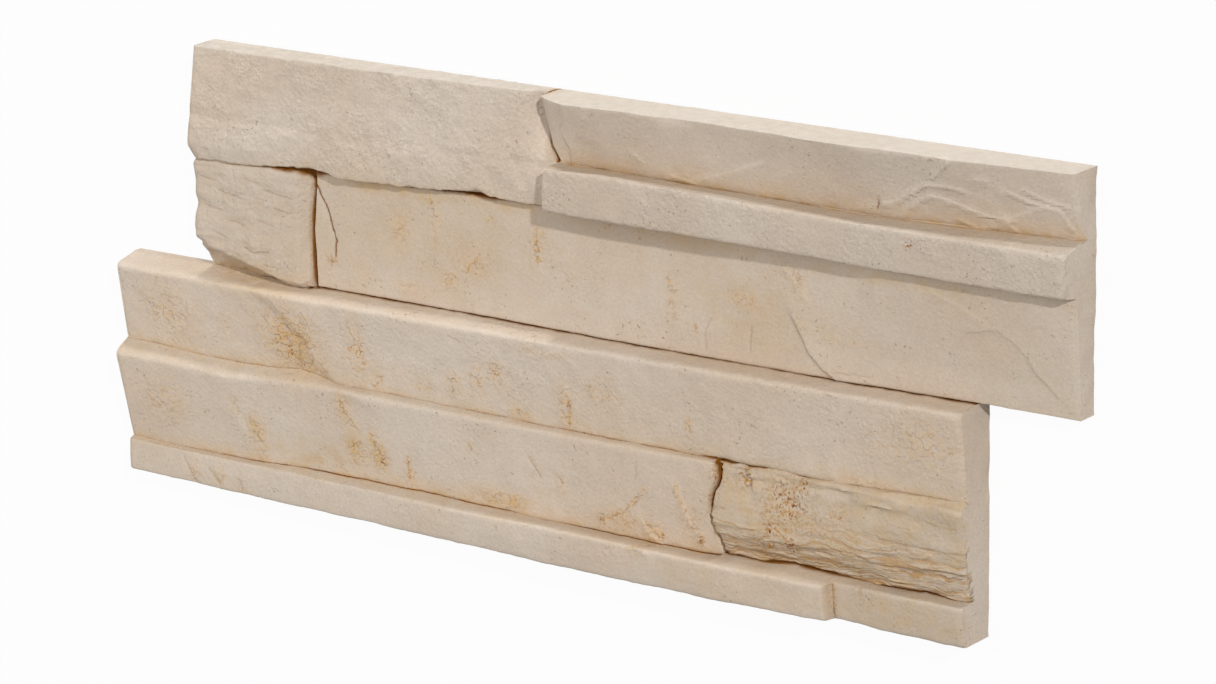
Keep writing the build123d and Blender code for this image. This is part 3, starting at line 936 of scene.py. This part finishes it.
class Shader:
    """A material's node tree, with short ways to add nodes to it."""

    def __init__(self, name):
        self.material = bpy.data.materials.new(name)
        self.material.use_nodes = True
        self.tree = self.material.node_tree
        self.surface = self.tree.nodes["Principled BSDF"]

    def add(self, kind, sockets, **settings):
        """A node whose sockets are set, or linked where the value is another node's output."""
        node = self.tree.nodes.new(kind)
        for name, value in settings.items():
            setattr(node, name, value)
        for key, value in sockets.items():
            self.put(node.inputs[key], value)
        return node

    def put(self, socket, value):
        """Sets a socket, or links it."""
        if isinstance(value, bpy.types.NodeSocket):
            self.tree.links.new(value, socket)
        else:
            socket.default_value = value

    def look(self, name):
        """One of the looks that the mesh carries."""
        return self.add("ShaderNodeAttribute", {}, attribute_name=name).outputs["Fac"]

    def noise(self, place, size, detail=2.0):
        """Noise from 0 to 1 with lumps of the given size."""
        sockets = {"Vector": place, "Scale": 1 / size, "Detail": detail}
        return self.add("ShaderNodeTexNoise", sockets).outputs["Fac"]

    def math(self, operation, a, b):
        """A sum, product or the like of two values."""
        return self.add("ShaderNodeMath", {0: a, 1: b}, operation=operation).outputs[0]

    def times(self, a, b):
        """The product of two values."""
        return self.math("MULTIPLY", a, b)

    def ramp(self, value, low, high, to_low=0.0, to_high=1.0):
        """A value stretched smoothly from one range to another."""
        sockets = {"Value": value, 1: low, 2: high, 3: to_low, 4: to_high}
        return self.add("ShaderNodeMapRange", sockets, interpolation_type="SMOOTHSTEP").outputs[0]

    def line(self, name, wobble, inner, outer):
        """A thin line with soft sides along the marks of one kind."""
        bend = self.times(wobble, 0.5)
        side = self.math("ABSOLUTE", self.math("ADD", self.look(name + "_side"), bend), 0.0)
        return self.times(self.ramp(side, inner, outer, 1.0, 0.0), self.look(name))

    def mix(self, share, a, b, blend="MIX"):
        """Two colours mixed."""
        node = self.add("ShaderNodeMix", {0: share, 6: a, 7: b}, data_type="RGBA", blend_type=blend)
        return node.outputs[2]


def cast_stone():
    """Cream cast stone: sandy grain, ochre in the hollows, rust, brown joints and pale edges from wear,
    with a painted highlight on the panel's top face, painted shade on its ledges and warm painted shade
    under some overhangs.
    """
    s = Shader("cast_stone")
    coordinates = s.add("ShaderNodeTexCoord", {}).outputs["Object"]
    place = s.add("ShaderNodeVectorMath", {0: coordinates, 3: 1 / MM}, operation="SCALE").outputs[0]
    wobble = s.ramp(s.noise(place, 3.0, 3.0), 0.2, 0.8, -0.9, 0.9)
    ledge = s.math("ADD", s.look("step_side"), s.times(wobble, 0.35))
    score = s.line("score", wobble, 0.15, 0.75)
    clouds = s.ramp(s.noise(place, 60.0, 4.0), 0.35, 0.65)
    colour = s.mix(clouds, linear(CREAM), linear(SAND))
    blotches = s.ramp(s.noise(place, 9.0, 4.0), 0.3, 0.7, 0.982, 1.018)
    grain = s.ramp(s.noise(place, 1.1, 3.0), 0.2, 0.8, 0.93, 1.07)
    # The stone's own tone, darkened on the upward ledge faces by painted shade
    tone = s.times(s.times(blotches, grain), s.math("SUBTRACT", 1.0, s.look("shade")))
    tone_colour = s.add("ShaderNodeCombineColor", {0: tone, 1: tone, 2: tone}).outputs[0]
    colour = s.mix(1.0, colour, tone_colour, "MULTIPLY")
    pitted = s.ramp(s.noise(place, 14.0, 2.0), 0.45, 0.65)
    pits = s.times(s.ramp(s.noise(place, 1.5, 2.0), 0.64, 0.74), pitted)
    colour = s.mix(s.times(pits, 0.5), colour, linear(PIT))
    specked = s.times(s.ramp(s.noise(place, 20.0, 3.0), 0.45, 0.65), s.look("rough"))
    specks = s.times(s.ramp(s.noise(place, 1.2, 2.0), 0.6, 0.68), specked)
    colour = s.mix(s.times(specks, 0.4), colour, linear(SPECK))
    # Pale edges from wear, and the painted highlight on the panel's top face
    worn = s.times(s.look("worn"), s.ramp(s.noise(place, 5.0, 3.0), 0.3, 0.7, 0.35, 0.6))
    colour = s.mix(worn, colour, linear(PALE))
    # Ochre stains, and in a few patches under overhangs warm painted shade
    ochre_and_shade = s.times(s.look("ochre_and_shade"), s.ramp(s.noise(place, 7.0, 5.0), 0.3, 0.7, 0.2, 0.8))
    colour = s.mix(ochre_and_shade, colour, linear(OCHRE))
    flake = s.math("MAXIMUM", s.look("flake"), s.line("streak", wobble, 0.5, 2.4))
    plates = s.noise(place, 3.5, 5.0)
    rims = s.ramp(s.math("ABSOLUTE", s.math("SUBTRACT", plates, 0.5), 0.0), 0.012, 0.05, 1.0, 0.0)
    rims = s.times(rims, s.ramp(s.noise(place, 4.0, 2.0), 0.4, 0.6))
    crust = s.times(flake, s.ramp(s.noise(place, 2.5, 4.0), 0.35, 0.65, 0.0, 0.7))
    colour = s.mix(crust, colour, linear(CRUST))
    colour = s.mix(s.times(s.times(rims, flake), 0.75), colour, linear(FLECK))
    speckle = s.ramp(s.noise(place, 1.6, 3.0), 0.47, 0.6, 0.0, 0.7)
    streak = s.times(s.line("streak", wobble, 0.1, 0.8), 0.85)
    rust = s.times(s.math("MAXIMUM", streak, s.look("spot")), speckle)
    colour = s.mix(rust, colour, linear(RUST))
    dots = s.times(s.ramp(s.noise(place, 1.2, 2.0), 0.58, 0.64), s.look("spot"))
    colour = s.mix(dots, colour, linear(DOT))
    beds = s.times(s.ramp(layer_noise(s, place), 0.5, 0.38, 0.0, 0.7), s.look("beds"))
    colour = s.mix(beds, colour, linear(FLECK))
    broken = s.ramp(s.noise(place, 9.0, 4.0), 0.35, 0.6, 0.75, 1.0)
    gap = s.ramp(s.times(s.look("gap"), broken), 0.08, 0.65, 0.0, 0.95)
    colour = s.mix(s.math("MAXIMUM", score, gap), colour, linear(BROWN))
    s.put(s.surface.inputs["Base Color"], colour)
    s.surface.inputs["Roughness"].default_value = ROUGHNESS
    s.put(s.surface.inputs["Specular IOR Level"], s.ramp(gap, 0.0, 0.8, SHEEN, 0.0))
    chips = s.times(s.ramp(plates, 0.47, 0.53), flake)
    s.put(s.surface.inputs["Normal"], stone_bump(s, place, ledge, chips, score, pits))
    return s.material


def layer_noise(s, place):
    """Noise drawn out along the bedding of the stone."""
    wave = s.ramp(s.noise(place, 13.0, 3.0), 0.2, 0.8, -2.2, 2.2)
    shift = s.add("ShaderNodeCombineXYZ", {1: wave}).outputs[0]
    bent = s.add("ShaderNodeVectorMath", {0: place, 1: shift}, operation="ADD").outputs[0]
    layers = s.add("ShaderNodeVectorMath", {0: bent, 1: LAYER_SCALE}, operation="MULTIPLY").outputs[0]
    return s.noise(layers, 1.0, 4.0)


def stone_bump(s, place, ledge, chips, score, pits):
    """The finest relief: sand, fine layers, and crisp edges of the marks that are cut in the mesh."""
    patches = s.ramp(s.noise(place, 16.0, 2.0), 0.35, 0.65, 0.5, 1.2)
    coarse = s.times(s.ramp(s.look("rough"), 0.0, 1.0, 0.25, 0.7), patches)
    sand = s.times(s.noise(place, 1.8, 4.0), coarse)
    layers = s.times(layer_noise(s, place), s.times(s.look("beds"), 1.6))
    raised = s.times(s.ramp(ledge, -0.6, 0.6, 0.55, 0.0), s.look("step"))
    raised = s.math("ADD", raised, s.times(chips, 0.35))
    cut = s.math("ADD", s.times(score, 0.5), s.times(pits, 0.25))
    height = s.math("ADD", s.math("ADD", sand, layers), s.math("SUBTRACT", raised, cut))
    return s.add("ShaderNodeBump", {"Height": height, "Distance": MM, "Strength": 1.0}).outputs[0]


panel.data.materials.append(cast_stone())
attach(panel, "root")
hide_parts(NODE)

# Floor, light and background
FLOOR_REACH = 3.0
FLOOR_WHITE = (216, 216, 216)
FLOOR_GLOW = 0.95
SKY_STRENGTH = 0.36


def white_floor():
    """A white floor that looks near white to the camera and still takes a soft shadow."""
    r = FLOOR_REACH
    mesh = bpy.data.meshes.new("floor")
    mesh.from_pydata([(-r, -r, 0), (r, -r, 0), (r, r, 0), (-r, r, 0)], [], [(0, 1, 2, 3)])
    floor = bpy.data.objects.new("floor", mesh)
    bpy.context.scene.collection.objects.link(floor)
    s = Shader("floor_white")
    s.surface.inputs["Base Color"].default_value = linear(FLOOR_WHITE)
    s.surface.inputs["Roughness"].default_value = 1.0
    s.surface.inputs["Specular IOR Level"].default_value = 0.0
    rays = s.add("ShaderNodeLightPath", {})
    seen = s.math("MAXIMUM", rays.outputs["Is Camera Ray"], rays.outputs["Is Glossy Ray"])
    seen = s.math("MAXIMUM", seen, rays.outputs["Is Transmission Ray"])
    glow = s.add("ShaderNodeEmission", {"Color": (1, 1, 1, 1), "Strength": 1.0})
    share = s.times(seen, FLOOR_GLOW)
    both = s.add("ShaderNodeMixShader", {0: share, 1: s.surface.outputs[0], 2: glow.outputs[0]})
    s.put(s.tree.nodes["Material Output"].inputs["Surface"], both.outputs[0])
    mesh.materials.append(s.material)


def lamp(name, kind, place, power, **settings):
    """A lamp that shines on the panel from a place."""
    data = bpy.data.lights.new(name, kind)
    data.energy = power
    for key, value in settings.items():
        setattr(data, key, value)
    light = bpy.data.objects.new(name, data)
    light.location = place
    light.rotation_euler = Vector(place).to_track_quat("Z", "Y").to_euler()
    bpy.context.scene.collection.objects.link(light)


def studio_light():
    """A key light over the right shoulder, one down the wall, a broad one at the left, and a sky."""
    lamp("key", "SUN", (2.4, 1.7, 2.0), 1.63, angle=0.04)
    lamp("top", "SUN", (0.0, 2.4, 0.04), 1.05, angle=0.08)
    lamp("fill", "AREA", (-1.2, 0.5, 2.2), 25, size=2.0)
    world = bpy.data.worlds.new("world")
    world.use_nodes = True
    sky = world.node_tree.nodes["Background"]
    sky.inputs["Color"].default_value = (1, 1, 1, 1)
    sky.inputs["Strength"].default_value = SKY_STRENGTH
    bpy.context.scene.world = world


white_floor()
studio_light()
bpy.context.scene.view_settings.view_transform = "Standard"
